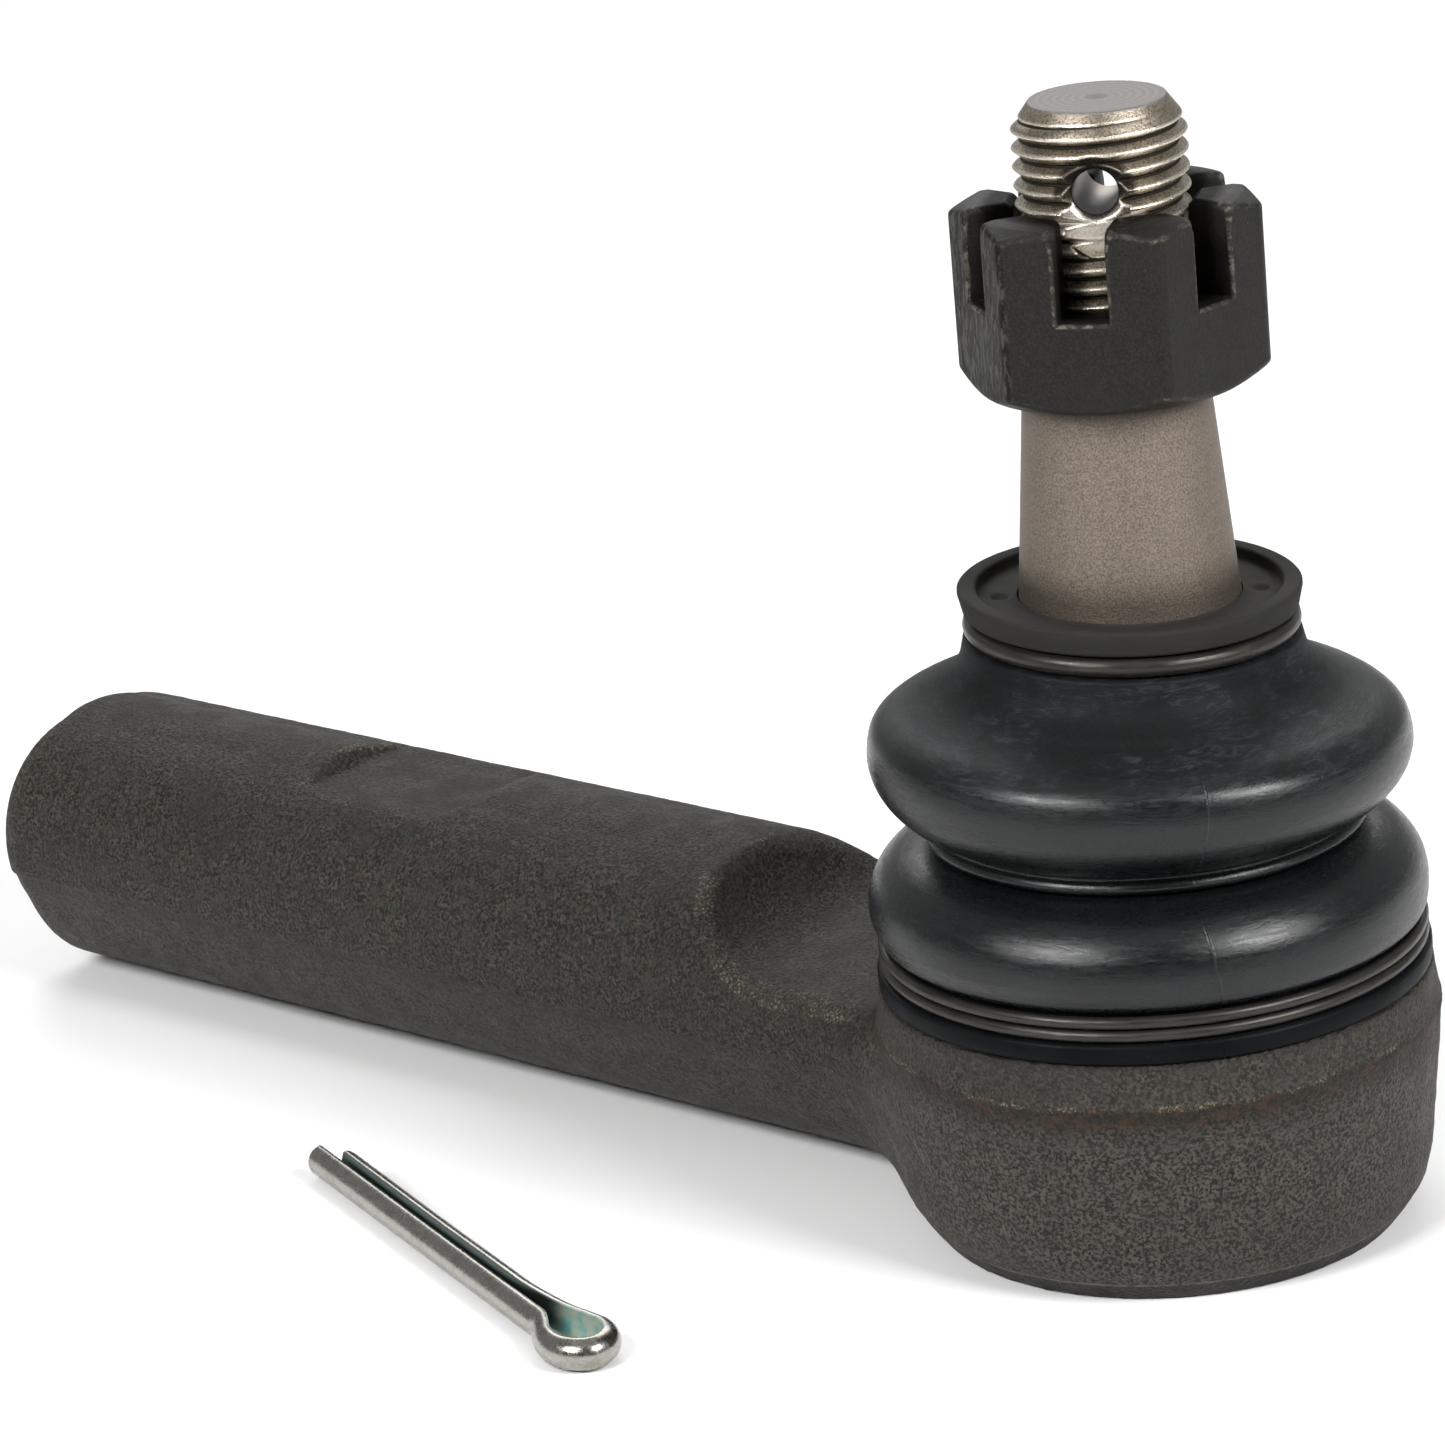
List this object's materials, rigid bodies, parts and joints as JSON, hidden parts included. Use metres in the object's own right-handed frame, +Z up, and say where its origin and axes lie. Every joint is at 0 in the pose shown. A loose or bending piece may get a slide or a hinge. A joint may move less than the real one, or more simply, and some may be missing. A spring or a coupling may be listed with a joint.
{
  "type": "tie rod end",
  "caption": "Steering tie rod end: a ball stud with tapered seat, thread and castle nut, swinging in a forged socket on a round shank under a bellows boot.",
  "frame": {"origin": "centre of the socket's flat underside, on the stud's axis and on the surface the part lies on", "axes": "+Z up the stud from the socket to its threaded end, -X along the shank away from the socket, +Y to the left of the shank's far end seen from the stud"},
  "size_m": [0.1501, 0.0747, 0.0936],
  "materials": {
    "forged_steel": "as forged, dark brown grey, grainy",
    "plate_steel": "dull pressed plate",
    "spring_steel": "drawn wire, dark",
    "seat_plastic": "natural nylon",
    "turned_steel": "fine turned",
    "boot_rubber": "smooth moulded, satin black",
    "phosphated_steel": "black phosphate, worn at the edges",
    "zinc_steel": "bright zinc plate"
  },
  "bodies": {
    "socket": {"housing": "forged_steel", "cover_plate": "plate_steel", "preload_spring": "spring_steel", "lower_bearing_seat": "seat_plastic", "upper_bearing_seat": "seat_plastic", "lower_clamp_ring": "spring_steel"},
    "boot": {"dust_boot": "boot_rubber"},
    "boot_top": {"upper_clamp_ring": "spring_steel"},
    "stud": {"ball_stud": "turned_steel"},
    "nut": {"castle_nut": "phosphated_steel"},
    "pin": {"cotter_pin": "zinc_steel"}
  },
  "joints": [
    {"name": "stud_swing_along_shank", "type": "hinge", "parent": "socket", "child": "boot", "pos_m": [0, 0, 0.0145], "axis": [0, 1, 0], "range_deg": [-18, 18], "deforming": ["dust_boot"]},
    {"name": "stud_swing_across_shank", "type": "hinge", "parent": "boot", "child": "boot_top", "pos_m": [0, 0, 0.0145], "axis": [1, 0, 0], "range_deg": [-18, 18], "deforming": ["dust_boot"]},
    {"name": "stud_spin", "type": "hinge", "parent": "boot_top", "child": "stud", "pos_m": [0, 0, 0.0145], "axis": [0, 0, 1], "continuous": true},
    {"name": "nut_turn", "type": "hinge", "parent": "stud", "child": "nut", "pos_m": [0, 0, 0.0787], "axis": [0, 0, 1], "continuous": true},
    {"name": "pin_lift", "type": "slide", "parent": "socket", "child": "pin", "axis": [0, 0, 1], "range_m": [0, 0.06]}
  ]
}
